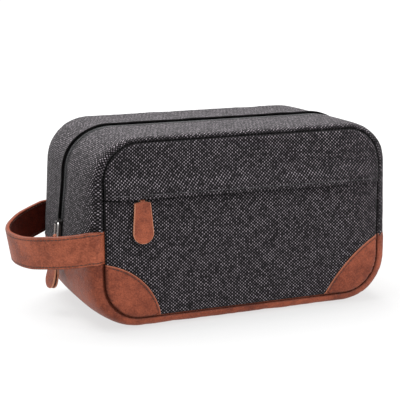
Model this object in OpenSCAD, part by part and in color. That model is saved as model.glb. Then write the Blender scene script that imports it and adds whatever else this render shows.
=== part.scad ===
// Soft shaving kit bag: a canvas box with a leather base and corner patches,
// a zipper over the top, a front pocket under a flap and a leather handle loop.
// Frame: X along the bag with the handle at -X, -Y the front, Z up, and the
// origin in the middle of the flat base. Lengths are in millimetres.

/* [Bag body] */
// Width of the front and back panels, seam to seam
panel_w = 240; // [220:1:260]
// Height of the front and back panels, seam to seam
panel_h = 139; // [130:1:150]
// Depth of the bag between its front and back seams
bag_d = 136; // [124:1:150]
// Radius of the panels' four corners
corner_r = 30; // [24:1:34]
// Height of the panels' bottom seam above the surface the bag stands on
seam_lift = 9.5; // [8:0.5:11]
// How far the gusset's rolled edge stands out past the seam
lip = 5; // [3:0.5:6]

/* [Gusset bulge] */
// Rise of the gusset over the top seam
top_bulge = 4.5; // [3:0.5:6]
// Bulge of the right end just above the base corner
right_bulge_low = 14.5; // [12:0.5:16]
// Bulge of both ends just below the top corner
end_bulge_high = 10.5; // [8:0.5:12]
// Bulge of the left end just above the base corner
left_bulge_low = 14.5; // [12:0.5:16]
// Bulge of the left end where the handle is sewn in
left_bulge_mid = 17; // [15:0.5:18]
// Roundness of the bulge across the bag: 2 is an ellipse, more is squarer
bulge_power = 2.8; // [2.4:0.1:3.2]

/* [Fabric and leather] */
// Thickness of the canvas
canvas_t = 1.4; // [1:0.1:1.6]
// Thickness of the leather of the base
base_leather_t = 2.2; // [1.8:0.1:2.4]
// Height where the gusset changes from leather to canvas
base_top = 57; // [56.5:0.5:58]
// Width of the left corner patch along the bottom seam
left_patch_w = 45; // [35:1:55]
// Height of the left corner patch up the side seam
left_patch_h = 45.5; // [35:0.5:55]
// How far the left patch's edge bows out from a straight cut
left_patch_bow = 10; // [4:0.5:12]
// Width of the right corner patch along the bottom seam
right_patch_w = 50; // [35:1:55]
// Height of the right corner patch up the side seam
right_patch_h = 48; // [35:0.5:55]
// How far the right patch's edge bows out from a straight cut
right_patch_bow = 5.5; // [4:0.5:12]

/* [Front pocket] */
// Height of the flap's lower edge
flap_edge_z = 104; // [98:0.1:106]
// Height of the stitch line that the flap hangs from
flap_stitch_z = 124.5; // [123:0.5:128]
// Where the pocket's slider is parked, left of the middle
pocket_slider_x = -90; // [-94:0.5:-60]

/* [Zippers] */
// Gap between the two folded canvas edges over the main zipper
zip_gap = 8; // [6.6:0.1:8.4]
// Height of the main slider at the closed end
main_slider_z = 72; // [72:0.5:75]
// Length of the main zipper's wire bail between its two bars
main_bail_len = 12; // [10:0.5:12]
// Length of the main zipper's pull tab below its bar
main_tab_len = 42.6; // [38:0.1:43]
// Length of the pocket zipper's pull tab below its bar
pocket_tab_len = 33; // [28:0.5:34]
// Width of a pull tab at its top
tab_top_w = 13; // [12.5:0.5:15]
// Width of a pull tab near its rounded end
tab_end_w = 17; // [15:0.1:18]

/* [Handle] */
// Width of the handle strap
strap_w = 26; // [22:0.5:28]
// Thickness of each of the strap's two leather layers
strap_layer_t = 1.8; // [1.4:0.1:2]
// Height of the middle of the strap where it is sewn in
strap_z = 68.2; // [67:0.1:70]
// Reach of the loop out from the side seam, to the middle of the strap
strap_reach = 57.2; // [52:0.1:62]
// Angle that the loop hangs below level
strap_droop = 9.6; // [8:0.1:14]

/* [Hidden] */

$fn = 48;
canvas = [0.21, 0.20, 0.22];
leather = [0.62, 0.30, 0.17];
lining = [0.30, 0.29, 0.30];
foam = [0.75, 0.74, 0.70];
tape = [0.09, 0.09, 0.10];
steel = [0.62, 0.61, 0.60];

half_w = panel_w / 2;
half_d = bag_d / 2;
seam_low = seam_lift;
seam_high = seam_lift + panel_h;
corner_low = seam_low + corner_r;
corner_high = seam_high - corner_r;
corner_step = 10;
// The base bulges a little past the surface it stands on and is cut off flat
base_bulge = seam_lift + 1;
left_bulge_z = 58;
far = 400;

// Depths below the gusset's outer surface
tape_depth = canvas_t + 0.3;
tape_t = 0.5;
lining_depth = 3.6;
base_lining_depth = 5.2;
lining_t = 0.6;
fabric_gap = 0.3;

// Layers of the front, counted outward from the seam plane
lower_panel_back = 0.7;
panel_t = 1.6;
lower_panel_front = lower_panel_back + panel_t;
flap_lift = 6.1;
pocket_backing_in = 2.5;
padding_in = 4.7;
padding_t = 2;
panel_lining_in = 5.5;
inner_inset = 4.6;
binding_outer = 2.6;
binding_inner = 4.2;

// Zipper section, counted outward from the outer face of the tape
tape_half = 13.5;
row_gap = 0.9;
row_w = 1.55;
row_low = 0.15;
row_high = 1.25;
slider_plate_t = 0.7;
slider_post_t = 0.5;
pocket_zip_z = 109;
pocket_tape_y = -half_d + 0.1;
pocket_zip_half = 104;
stop_len = 1.2;

// Bails: wire radius, and the middle of the bar above the tape
bore_play = 0.06;
main_wire_r = 0.8;
main_bar_out = 3 + tape_depth;
pocket_wire_r = 0.5;
pocket_bar_out = 4.25;
pocket_bail_len = 4.2;
pocket_bar_drop = 1.8;
main_leg_x = 4.2;
pocket_leg_x = 3.3;
tab_layer_t = 1.3;
pocket_tab_layer_t = 1;
main_slider_len = 13.5;
main_bar_drop = -3.6;

// Handle: the loop starts clear of its sewn ends, so that it can swing
strap_half_y = half_d + 3.4;
strap_shift = -5;
strap_power = 1.42;
strap_hinge_x = -half_w - 10;
loop_gap = 5.2;

function end_bulge(side, z) = side < 0
    ? lookup(z, [
        [corner_low, left_bulge_low],
        [left_bulge_z, left_bulge_mid],
        [corner_high, end_bulge_high]
      ])
    : lookup(z, [
        [corner_low, right_bulge_low],
        [corner_high, end_bulge_high]
      ]);

// A station on the seam outline: [x, z, outward x, outward z, bulge]
function end_station(side, z) = [side * half_w, z, side, 0, end_bulge(side, z)];
function corner_station(side, up, a) =
    let (
        nx = side * cos(a),
        nz = up * sin(a),
        cx = side * (half_w - corner_r),
        cz = up > 0 ? corner_high : corner_low,
        bulge_z = up > 0 ? top_bulge : base_bulge
    )
    [
        cx + corner_r * nx, cz + corner_r * nz, nx, nz,
        nx * nx * end_bulge(side, cz) + nz * nz * bulge_z
    ];

// The gusset's run over the top, from a height on the left end to one on the right
function top_run(left_z, right_z) = concat(
    [end_station(-1, left_z)],
    left_z < left_bulge_z ? [end_station(-1, left_bulge_z)] : [],
    [for (a = [0:corner_step:90]) corner_station(-1, 1, a)],
    [for (a = [90:-corner_step:0]) corner_station(1, 1, a)],
    [end_station(1, right_z)]
);
// Its run under the bag, from the right end round to the left one
function base_run(top_z) = concat(
    [end_station(1, top_z)],
    [for (a = [0:corner_step:90]) corner_station(1, -1, a)],
    [for (a = [90:-corner_step:0]) corner_station(-1, -1, a)],
    [end_station(-1, top_z)]
);
function outline(grow) = [
    for (s = concat(top_run(base_top, base_top), base_run(base_top)))
        [s[0] + s[2] * grow, s[1] + s[3] * grow]
];

function across(v, power) = pow(max(0, 1 - pow(abs(v), power)), 1 / power);
// How far the gusset stands out past the seam outline at the place y across it
function stand_out(bulge, y) =
    let (v = y / half_d)
    lip * across(v, 8) + (bulge - lip) * across(v, bulge_power);
function skin_point(s, y, depth) =
    let (out = stand_out(s[4], y) - depth)
    [s[0] + s[2] * out, y * (half_d - depth) / half_d, s[1] + s[3] * out];

// Places across the gusset from one y to another, closer together near a seam
function rows(from_y, to_y, n) = [
    for (i = [0:n])
        let (t = i / n)
        abs(from_y) > abs(to_y)
            ? to_y + (from_y - to_y) * cos(90 * t)
            : from_y + (to_y - from_y) * sin(90 * t)
];

// A curved sheet that follows the gusset between two depths
module skin(run, ys, depth_out, depth_in) {
    m = len(run);
    n = len(ys);
    points = [
        for (d = [depth_out, depth_in], s = run, y = ys) skin_point(s, y, d)
    ];
    layer = m * n;
    function at(k, i, j) = k * layer + i * n + j;
    sheets = [
        for (k = [0, 1], i = [0:m - 2], j = [0:n - 2], half = [0, 1])
            let (
                a = at(k, i, j), b = at(k, i + 1, j),
                c = at(k, i + 1, j + 1), d = at(k, i, j + 1),
                tri = half == 0 ? [a, b, c] : [a, c, d]
            )
            k == 0 ? [tri[2], tri[1], tri[0]] : tri
    ];
    ends = [
        for (i = [0, m - 1], j = [0:n - 2])
            let (
                a = at(0, i, j), b = at(0, i, j + 1),
                c = at(1, i, j + 1), d = at(1, i, j)
            )
            i == 0 ? [d, c, b, a] : [a, b, c, d]
    ];
    sides = [
        for (j = [0, n - 1], i = [0:m - 2], half = [0, 1])
            let (
                a = at(0, i, j), b = at(0, i + 1, j),
                c = at(1, i + 1, j), d = at(1, i, j),
                tri = half == 0 ? [a, b, c] : [a, c, d]
            )
            j == 0 ? tri : [tri[2], tri[1], tri[0]]
    ];
    polyhedron(concat(points), concat(sheets, ends, sides));
}

// A plate that stands upright between two places in y
module upright(y_front, y_back) {
    translate([0, y_back, 0])
        rotate([90, 0, 0])
            linear_extrude(y_back - y_front)
                children();
}

module rounded_square(w, h, r) {
    square([w - 2 * r, h], center = true);
    square([w, h - 2 * r], center = true);
    for (x = [-1, 1], y = [-1, 1])
        translate([x * (w / 2 - r), y * (h / 2 - r)])
            circle(r);
}

// --- Gusset, base and panels ---

module gusset_canvas_front() {
    color(canvas)
        skin(top_run(base_top, base_top), rows(-half_d, -zip_gap / 2, 7), 0, canvas_t);
}

module gusset_canvas_back() {
    color(canvas)
        skin(top_run(base_top, base_top), rows(zip_gap / 2, half_d, 7), 0, canvas_t);
}

module base_leather() {
    ys = concat(rows(-half_d, 0, 6), [for (i = [1:6]) rows(0, half_d, 6)[i]]);
    color(leather)
        difference() {
            skin(base_run(base_top), ys, 0, base_leather_t);
            translate([-far / 2, -far / 2, -far])
                cube(far);
        }
}

module below(z) {
    translate([-far / 2, z - far])
        square(far);
}

module front_panel_lower() {
    slider_room = 4.4;
    color(canvas)
        upright(-half_d - lower_panel_front, -half_d - lower_panel_back)
            intersection() {
                polygon(outline(-fabric_gap));
                below(pocket_zip_z - slider_room);
            }
}

// The flap's section: flat above its stitch line, standing off the zipper below it
module front_panel_flap() {
    top_out = lower_panel_back;
    edge_out = flap_lift;
    section = [
        [-half_d - top_out, seam_high],
        [-half_d - top_out, flap_stitch_z + 2],
        [-half_d - edge_out, pocket_zip_z + 4.5],
        [-half_d - edge_out, flap_edge_z],
        [-half_d - edge_out - canvas_t, flap_edge_z],
        [-half_d - edge_out - canvas_t, pocket_zip_z + 4.5],
        [-half_d - top_out - panel_t, flap_stitch_z + 2],
        [-half_d - top_out - panel_t, seam_high]
    ];
    color(canvas)
        intersection() {
            upright(-half_d - far / 4, -half_d)
                polygon(outline(-fabric_gap));
            translate([-far / 2, 0, 0])
                rotate([90, 0, 90])
                    linear_extrude(far)
                        polygon(section);
        }
}

// A corner patch's outline: the panel's corner inside a large circle
module patch_outline(side, w, h, bow) {
    low = [side * (half_w - w), seam_low];
    high = [side * half_w, seam_low + h];
    chord = norm(high - low);
    r = (chord * chord / 4 + bow * bow) / (2 * bow);
    inward = [side * h, -w] / norm([h, w]);
    centre = (low + high) / 2 + inward * (r - bow);
    intersection() {
        polygon(outline(-fabric_gap));
        translate(centre)
            circle(r, $fn = 96);
    }
}

patch_t = 1.1;
patch_front = lower_panel_front + 0.1 + patch_t;

module front_patch(side, w, h, bow) {
    color(leather)
        upright(-half_d - patch_front, -half_d - lower_panel_front - 0.1)
            patch_outline(side, w, h, bow);
}

module front_patch_left() {
    front_patch(-1, left_patch_w, left_patch_h, left_patch_bow);
}

module front_patch_right() {
    front_patch(1, right_patch_w, right_patch_h, right_patch_bow);
}

module back_panel() {
    color(canvas)
        upright(half_d + lower_panel_back, half_d + lower_panel_front)
            polygon(outline(-fabric_gap));
}

module back_patch(side, w, h, bow) {
    color(leather)
        upright(half_d + lower_panel_front + 0.1, half_d + patch_front)
            patch_outline(side, w, h, bow);
}

module back_patch_left() {
    back_patch(-1, left_patch_w, left_patch_h, left_patch_bow);
}

module back_patch_right() {
    back_patch(1, right_patch_w, right_patch_h, right_patch_bow);
}

// --- Padding, lining and bindings ---

module front_padding() {
    color(foam)
        upright(-half_d + padding_in - padding_t, -half_d + padding_in)
            polygon(outline(-inner_inset));
}

module back_padding() {
    color(foam)
        upright(half_d - padding_in, half_d - padding_in + padding_t)
            polygon(outline(-inner_inset));
}

module pocket_backing() {
    color(lining)
        upright(-half_d + pocket_backing_in - lining_t, -half_d + pocket_backing_in)
            polygon(outline(-inner_inset));
}

module front_lining() {
    color(lining)
        upright(-half_d + panel_lining_in - lining_t, -half_d + panel_lining_in)
            polygon(outline(-inner_inset));
}

module back_lining() {
    color(lining)
        upright(half_d - panel_lining_in, half_d - panel_lining_in + lining_t)
            polygon(outline(-inner_inset));
}

lining_edge = 0.985 * half_d;

module gusset_lining_front() {
    color(lining)
        skin(
            top_run(base_top, base_top), rows(-lining_edge, -tape_half - 0.5, 5),
            lining_depth, lining_depth + lining_t
        );
}

module gusset_lining_back() {
    color(lining)
        skin(
            top_run(base_top, base_top), rows(tape_half + 0.5, lining_edge, 5),
            lining_depth, lining_depth + lining_t
        );
}

module base_lining() {
    ys = concat(rows(-lining_edge, 0, 5), [for (i = [1:5]) rows(0, lining_edge, 5)[i]]);
    color(lining)
        skin(base_run(base_top - 0.4), ys, base_lining_depth, base_lining_depth + lining_t);
}

module base_stiffener() {
    board_t = 1.6;
    board_z = 2.4;
    color(foam)
        translate([0, 0, board_z])
            linear_extrude(board_t)
                rounded_square(panel_w - 2 * corner_r - 4, 88, 12);
}

// The tape that binds the raw edges inside a seam
module seam_binding(side) {
    near = half_d - 1.7;
    deep = half_d - 7;
    color(lining)
        upright(side < 0 ? -near : deep, side < 0 ? -deep : near)
            difference() {
                polygon(outline(-binding_outer));
                polygon(outline(-binding_inner));
            }
}

module seam_binding_front() {
    seam_binding(-1);
}

module seam_binding_back() {
    seam_binding(1);
}

// --- Main zipper ---

coil_low = base_top + stop_len + 0.6;

module main_zip_tape(side) {
    ys = side < 0 ? [-tape_half, -row_gap / 2] : [row_gap / 2, tape_half];
    color(tape)
        skin(top_run(base_top, base_top), ys, tape_depth, tape_depth + tape_t);
}

module main_zip_tape_front() {
    main_zip_tape(-1);
}

module main_zip_tape_back() {
    main_zip_tape(1);
}

module main_zip_coil(side) {
    inner = row_gap / 2;
    outer = inner + row_w;
    ys = side < 0 ? [-outer, -inner] : [inner, outer];
    color(tape)
        skin(top_run(coil_low, coil_low), ys, tape_depth - row_high, tape_depth - row_low);
}

module main_zip_coil_front() {
    main_zip_coil(-1);
}

module main_zip_coil_back() {
    main_zip_coil(1);
}

// Places a child on the ridge of an end: its -Y looks out, its Z runs up the zipper
function ridge_x(side, z) = side * (half_w + end_bulge(side, z));
function ridge_tilt(side) =
    let (z = coil_low + 1)
    atan((ridge_x(side, z + 10) - ridge_x(side, z)) / 10);

module on_ridge(side, z) {
    translate([ridge_x(side, z), 0, z])
        rotate([0, ridge_tilt(side), 0])
            rotate([0, 0, side * 90])
                translate([0, tape_depth, 0])
                    children();
}

module main_zip_stop(side) {
    color(steel)
        on_ridge(side, base_top + stop_len / 2 + 0.3)
            translate([-2.4, -row_high, -stop_len / 2])
                cube([4.8, row_high - row_low, stop_len]);
}

module main_zip_top_stop() {
    main_zip_stop(-1);
}

module main_zip_bottom_stop() {
    main_zip_stop(1);
}

// A slider's two plates, its post between the rows and its flanges.
// The tape's outer face is at y = 0, -Y is out and the zipper runs along Z.
module slider_plates(w, l, top_out, flange_x) {
    plate_r = 2;
    upright(-top_out - slider_plate_t, -top_out)
        rounded_square(w, l, plate_r);
    upright(tape_t + fabric_gap, tape_t + fabric_gap + slider_plate_t)
        rounded_square(w, l, plate_r);
    post_len = l / 3;
    translate([-slider_post_t / 2, -top_out - 0.1, l / 2 - post_len - 1])
        cube([slider_post_t, top_out + tape_t + fabric_gap + 0.2, post_len]);
    flange_t = 0.6;
    for (side = [-1, 1])
        translate([side * flange_x - flange_t / 2, -top_out - 0.1, -l / 2 + plate_r])
            cube([flange_t, top_out + 0.1 - 0.35, l - 2 * plate_r]);
}

// The lug that holds a bail's bar, which lies along X
module slider_lug(wall_r, bar_r, foot_y, bar_y, w) {
    difference() {
        union() {
            translate([-w / 2, bar_y, 0])
                rotate([0, 90, 0])
                    cylinder(r = wall_r, h = w);
            translate([-w / 2, bar_y, -wall_r])
                cube([w, foot_y - bar_y, 2 * wall_r]);
        }
        translate([-w / 2 - 1, bar_y, 0])
            rotate([0, 90, 0])
                cylinder(r = bar_r, h = w + 2);
    }
}

main_plate_out = tape_depth + fabric_gap;

module main_slider() {
    lug_wall = 0.7;
    color(steel)
        on_ridge(-1, main_slider_z) {
            slider_plates(10, main_slider_len, main_plate_out, 2.65);
            translate([0, 0, -main_bar_drop])
                slider_lug(
                    main_wire_r + bore_play + lug_wall, main_wire_r + bore_play,
                    -main_plate_out - 0.1, -main_bar_out, 4.4
                );
        }
}

// A closed wire loop with two bars along X, the top one at the origin
module wire_bail(wire_r, leg_x, length) {
    bend_r = 1.4;
    for (z = [0, -length])
        translate([-leg_x + bend_r, 0, z])
            rotate([0, 90, 0])
                cylinder(r = wire_r, h = 2 * (leg_x - bend_r));
    for (x = [-leg_x, leg_x])
        translate([x, 0, -length + bend_r])
            cylinder(r = wire_r, h = length - 2 * bend_r);
    for (i = [0:3])
        translate([
            (i == 0 || i == 3 ? 1 : -1) * (leg_x - bend_r), 0,
            i < 2 ? -bend_r : -length + bend_r
        ])
            rotate([90, 0, 0])
                rotate([0, 0, [0, 90, 180, 270][i]])
                    rotate_extrude(angle = 90)
                        translate([bend_r, 0])
                            circle(wire_r, $fn = 32);
}

// A leather tab folded over a bar along X at the origin
module pull_tab(wire_r, leg_x, layer_t, len) {
    bore = wire_r + bore_play;
    fold_r = bore + layer_t;
    end_r = tab_end_w / 2;
    notch_w = 2 * wire_r + 1.2;
    difference() {
        union() {
            translate([-tab_top_w / 2, 0, 0])
                rotate([0, 90, 0])
                    cylinder(r = fold_r, h = tab_top_w);
            for (y = [-fold_r, bore])
                upright(y, y + layer_t) {
                    polygon([
                        [-tab_top_w / 2, 0], [-end_r, end_r - len],
                        [end_r, end_r - len], [tab_top_w / 2, 0]
                    ]);
                    translate([0, end_r - len])
                        circle(end_r);
                }
        }
        translate([-tab_top_w, 0, 0])
            rotate([0, 90, 0])
                cylinder(r = bore, h = 2 * tab_top_w);
        upright(-bore, bore)
            translate([-tab_top_w, -len])
                square([2 * tab_top_w, len]);
        // Room for the bail's legs as the tab swings out
        for (x = [-leg_x, leg_x])
            translate([x - notch_w / 2, -fold_r - 1, -fold_r])
                cube([notch_w, bore + fold_r + 1, 2 * fold_r + 1]);
    }
}

// Places a child at the main slider's bar, lying along the end of the bag
module at_main_bar() {
    on_ridge(-1, main_slider_z)
        translate([0, -main_bar_out, -main_bar_drop])
            children();
}

module main_bail() {
    color(steel)
        at_main_bar()
            wire_bail(main_wire_r, main_leg_x, main_bail_len);
}

module main_pull_tab() {
    color(leather)
        at_main_bar()
            translate([0, 0, -main_bail_len])
                pull_tab(main_wire_r, main_leg_x, tab_layer_t, main_tab_len);
}

// --- Pocket zipper ---

module pocket_zip_tape(side) {
    inner = row_gap / 2;
    tape_w = 11;
    z = pocket_zip_z + (side > 0 ? inner : -inner - tape_w);
    color(tape)
        translate([-pocket_zip_half, pocket_tape_y, z])
            cube([2 * pocket_zip_half, tape_t, tape_w]);
}

module pocket_zip_tape_upper() {
    pocket_zip_tape(1);
}

module pocket_zip_tape_lower() {
    pocket_zip_tape(-1);
}

module pocket_zip_coil(side) {
    inner = row_gap / 2;
    coil_half = pocket_zip_half - stop_len - 0.6;
    z = pocket_zip_z + (side > 0 ? inner : -inner - row_w);
    color(tape)
        translate([-coil_half, pocket_tape_y - row_high, z])
            cube([2 * coil_half, row_high - row_low, row_w]);
}

module pocket_zip_coil_upper() {
    pocket_zip_coil(1);
}

module pocket_zip_coil_lower() {
    pocket_zip_coil(-1);
}

module pocket_zip_stops() {
    color(steel)
        for (x = [-pocket_zip_half + 0.3, pocket_zip_half - 0.3 - stop_len])
            translate([x, pocket_tape_y - row_high, pocket_zip_z - 2.4])
                cube([stop_len, row_high - row_low, 4.8]);
}

module at_pocket_slider() {
    translate([pocket_slider_x, pocket_tape_y, pocket_zip_z])
        children();
}

pocket_plate_out = 1.5;

module pocket_slider() {
    lug_wall = 0.39;
    color(steel)
        at_pocket_slider() {
            rotate([0, 90, 0])
                slider_plates(8, 10, pocket_plate_out, 2.65);
            translate([0, 0, -pocket_bar_drop])
                slider_lug(
                    pocket_wire_r + bore_play + lug_wall, pocket_wire_r + bore_play,
                    -pocket_plate_out - 0.1, -pocket_bar_out, 3.6
                );
        }
}

module pocket_bail() {
    color(steel)
        at_pocket_slider()
            translate([0, -pocket_bar_out, -pocket_bar_drop])
                wire_bail(pocket_wire_r, pocket_leg_x, pocket_bail_len);
}

module pocket_pull_tab() {
    color(leather)
        at_pocket_slider()
            translate([0, -pocket_bar_out, -pocket_bar_drop - pocket_bail_len])
                pull_tab(
                    pocket_wire_r, pocket_leg_x, pocket_tab_layer_t, pocket_tab_len
                );
}

// --- Handle ---

// The strap's middle line seen from above, out from the side seam
function strap_line(t) = [
    -half_w - strap_reach * pow(cos(t), strap_power),
    strap_half_y * sin(t) + strap_shift * cos(t) * cos(t)
];
function strap_edge(t, d) =
    let (
        along = strap_line(t + 0.05) - strap_line(t - 0.05),
        out = [-along[1], along[0]] / norm(along)
    )
    strap_line(t) + out * d;
// The angle where the line is the distance p out from the seam
function strap_angle(p) = acos(pow(p / strap_reach, 1 / strap_power));

module strap_piece(t0, t1, n, d0, d1) {
    ts = [for (i = [0:n]) t0 + (t1 - t0) * i / n];
    translate([0, 0, strap_z - strap_w / 2])
        linear_extrude(strap_w)
            polygon(concat(
                [for (t = ts) strap_edge(t, d0)],
                [for (i = [n:-1:0]) strap_edge(ts[i], d1)]
            ));
}

module hung() {
    translate([strap_hinge_x, 0, strap_z])
        rotate([0, -strap_droop, 0])
            translate([-strap_hinge_x, 0, -strap_z])
                children();
}

loop_end = strap_angle(-half_w - strap_hinge_x + loop_gap);

module handle_outer_layer() {
    color(leather)
        hung()
            strap_piece(-loop_end, loop_end, 40, 0, strap_layer_t);
}

module handle_inner_layer() {
    color(leather)
        hung()
            strap_piece(-loop_end, loop_end, 40, -strap_layer_t, 0);
}

module handle_anchor(side) {
    anchor_start = strap_angle(0.4);
    anchor_end = strap_angle(-half_w - strap_hinge_x);
    color(leather)
        strap_piece(side * anchor_start, side * anchor_end, 6, -strap_layer_t, strap_layer_t);
}

module handle_anchor_front() {
    handle_anchor(-1);
}

module handle_anchor_back() {
    handle_anchor(1);
}

gusset_canvas_front();
gusset_canvas_back();
base_leather();
front_panel_lower();
front_panel_flap();
front_patch_left();
front_patch_right();
back_panel();
back_patch_left();
back_patch_right();
front_padding();
back_padding();
pocket_backing();
front_lining();
back_lining();
gusset_lining_front();
gusset_lining_back();
base_lining();
base_stiffener();
seam_binding_front();
seam_binding_back();
main_zip_tape_front();
main_zip_tape_back();
main_zip_coil_front();
main_zip_coil_back();
main_zip_top_stop();
main_zip_bottom_stop();
main_slider();
main_bail();
main_pull_tab();
pocket_zip_tape_upper();
pocket_zip_tape_lower();
pocket_zip_coil_upper();
pocket_zip_coil_lower();
pocket_zip_stops();
pocket_slider();
pocket_bail();
pocket_pull_tab();
handle_outer_layer();
handle_inner_layer();
handle_anchor_front();
handle_anchor_back();
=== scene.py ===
from math import atan2, cos, hypot, pi, radians, sin

import bmesh
import bpy
import numpy as np
from mathutils import Matrix, Vector


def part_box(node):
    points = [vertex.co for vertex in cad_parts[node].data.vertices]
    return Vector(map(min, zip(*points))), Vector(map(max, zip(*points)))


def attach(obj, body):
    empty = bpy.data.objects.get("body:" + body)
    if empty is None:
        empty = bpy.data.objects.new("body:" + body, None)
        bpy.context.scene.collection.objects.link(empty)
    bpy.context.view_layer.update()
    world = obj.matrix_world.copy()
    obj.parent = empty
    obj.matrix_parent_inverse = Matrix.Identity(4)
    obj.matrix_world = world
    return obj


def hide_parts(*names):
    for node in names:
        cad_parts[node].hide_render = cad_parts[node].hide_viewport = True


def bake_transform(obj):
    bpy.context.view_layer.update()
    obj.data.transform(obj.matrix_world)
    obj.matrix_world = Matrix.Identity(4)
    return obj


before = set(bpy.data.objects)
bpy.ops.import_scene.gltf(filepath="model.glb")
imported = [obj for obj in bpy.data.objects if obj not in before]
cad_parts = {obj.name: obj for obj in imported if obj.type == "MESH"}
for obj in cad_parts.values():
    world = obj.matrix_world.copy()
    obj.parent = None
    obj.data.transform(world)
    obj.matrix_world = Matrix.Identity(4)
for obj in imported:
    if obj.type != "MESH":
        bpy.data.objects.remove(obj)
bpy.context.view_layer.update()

SCENE = bpy.context.scene

# Lengths below are in millimetres, in the frame of the CAD: X along the bag with the
# handle at -X, -Y the front, Z up, and the origin in the middle of the base.
MM = 0.001


def node_box(node):
    low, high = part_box(node)
    return np.array(low) / MM, np.array(high) / MM


# --- Sizes ---

# From the back panel's solid out to the seam outline, and back to the seam plane
FABRIC_GAP = 0.3
PANEL_BACK = 0.7
back_low, back_high = node_box("back_panel")
HALF_W = back_high[0] + FABRIC_GAP
SEAM_LOW = back_low[2] - FABRIC_GAP
SEAM_HIGH = back_high[2] + FABRIC_GAP
HALF_D = back_low[1] - PANEL_BACK
BASE_TOP = node_box("base_leather")[1][2]
FLAP_EDGE = node_box("front_panel_flap")[0][2]
CORNER_R = 30.0
CORNER_LOW = SEAM_LOW + CORNER_R
CORNER_HIGH = SEAM_HIGH - CORNER_R
FLAT_HALF = HALF_W - CORNER_R
MID_Z = (SEAM_LOW + SEAM_HIGH) / 2

# How far the gusset stands out at its lips and, at these heights, in its middle
LIP = 5.0
TOP_BULGE = 4.5
BASE_BULGE = SEAM_LOW + 1.0
LEFT_BULGES = ([CORNER_LOW, 58.0, CORNER_HIGH], [14.5, 17.0, 10.5])
RIGHT_BULGES = ([CORNER_LOW, CORNER_HIGH], [14.5, 10.5])
# At the top and the bottom: seam height, corner height and bulge
LEVELS = {1: (SEAM_HIGH, CORNER_HIGH, TOP_BULGE), -1: (SEAM_LOW, CORNER_LOW, BASE_BULGE)}
BULGE_POWER = 2.8
LIP_POWER = 8.0

CANVAS_T = 1.4
LEATHER_T = 2.0
LEATHER_PROUD = 0.45
ZIP_EDGE = 4.1
# How far the cloth rises or sinks at the zipper, in front of it and behind it
ZIP_RISE = {-1: -0.6, 1: 1.3}
TAPE_DEPTH = 1.7
TAPE_T = 0.5
TAPE_HALF = 13.5
COIL_DEPTH = 1.0
COIL_Y = 1.1
COIL_PITCH = 1.35

FLAP_STITCH = 124.5
FLAP_LIFT = 4.8
FLAP_SLOPE = -0.012
FLAP_RAISE = 0.4
CROWN = 2.4

STRAP_W = 26.0
STRAP_LAYER = 1.8
# Half the space between the two layers
STRAP_GAP = 0.03
STRAP_Z = 68.2
STRAP_REACH = 57.2
STRAP_DROOP = radians(9.6)
STRAP_HALF_Y = HALF_D + 3.4
STRAP_SHIFT = 5.0
STRAP_POWER = 1.42
STRAP_HINGE_X = -HALF_W - 10
LOOP_GAP = 5.2
STRAP_TUCK = 5.4


# --- Small numeric helpers ---

def ease(t):
    t = np.clip(t, 0, 1)
    return t * t * (3 - 2 * t)


def steps(start, end, size):
    """Evenly spaced values from start to end, about size apart."""
    return np.linspace(start, end, max(1, round(abs(end - start) / size)) + 1)


def wave(t, lengths, seed):
    """A smooth wandering line through 0, the mean of sines of these wavelengths."""
    phases = np.random.default_rng(seed).uniform(0, 2 * pi, len(lengths))
    return sum(np.sin(2 * pi * t / l + p) for l, p in zip(lengths, phases)) / len(lengths)


def arc_length(points):
    lengths = np.linalg.norm(np.diff(points, axis=0), axis=1)
    return joined([0], np.cumsum(lengths))


def resample(points, at, lengths):
    """Rows of points interpolated at the places `at` along them."""
    return np.stack([np.interp(at, lengths, column) for column in np.asarray(points).T], -1)


def joined(*parts):
    return np.concatenate(parts)


def stack(*parts):
    """Arrays and numbers side by side, along a new last axis."""
    return np.stack(np.broadcast_arrays(*parts), -1)


def unit(v):
    return v / np.maximum(np.linalg.norm(v, axis=-1, keepdims=True), 1e-9)


# --- Materials ---

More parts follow.
